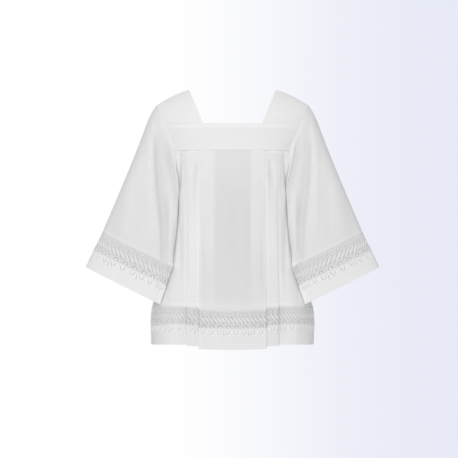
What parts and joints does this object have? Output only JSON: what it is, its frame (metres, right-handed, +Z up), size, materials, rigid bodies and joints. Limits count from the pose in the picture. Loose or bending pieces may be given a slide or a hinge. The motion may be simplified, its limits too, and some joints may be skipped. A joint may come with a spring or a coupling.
{
  "type": "surplice",
  "caption": "White pleated surplice, worn shape with no wearer: square neck on a yoke, wide bell sleeves, and an openwork insertion above the hem and the cuffs.",
  "frame": {"origin": "midway between the tops of the two shoulder straps at the neck, where the wearer's shoulders carry the garment", "axes": "+Z up, -Y the way the wearer faces, +X towards the wearer's left hand"},
  "size_m": [0.951, 0.366, 0.8396],
  "materials": {
    "cloth": "thin plain-woven white cotton and polyester cloth, matte",
    "seam_cloth": "the same white cloth doubled, turned under and topstitched",
    "lace": "white openwork insertion of satin-stitched leaves and rings on fine net"
  },
  "bodies": {
    "root": {"yoke_front": "cloth", "neck_band_front": "seam_cloth", "yoke_band_front": "seam_cloth", "body_front": "cloth", "lace_front": "lace", "hem_front": "cloth", "yoke_back": "cloth", "neck_band_back": "seam_cloth", "yoke_band_back": "seam_cloth", "body_back": "cloth", "lace_back": "lace", "hem_back": "cloth", "shoulder_right": "cloth", "armhole_band_right": "seam_cloth", "sleeve_right_front": "cloth", "sleeve_right_back": "cloth", "sleeve_lace_right_front": "lace", "sleeve_lace_right_back": "lace", "sleeve_hem_right": "cloth", "shoulder_left": "cloth", "armhole_band_left": "seam_cloth", "sleeve_left_front": "cloth", "sleeve_left_back": "cloth", "sleeve_lace_left_front": "lace", "sleeve_lace_left_back": "lace", "sleeve_hem_left": "cloth"}
  },
  "joints": []
}
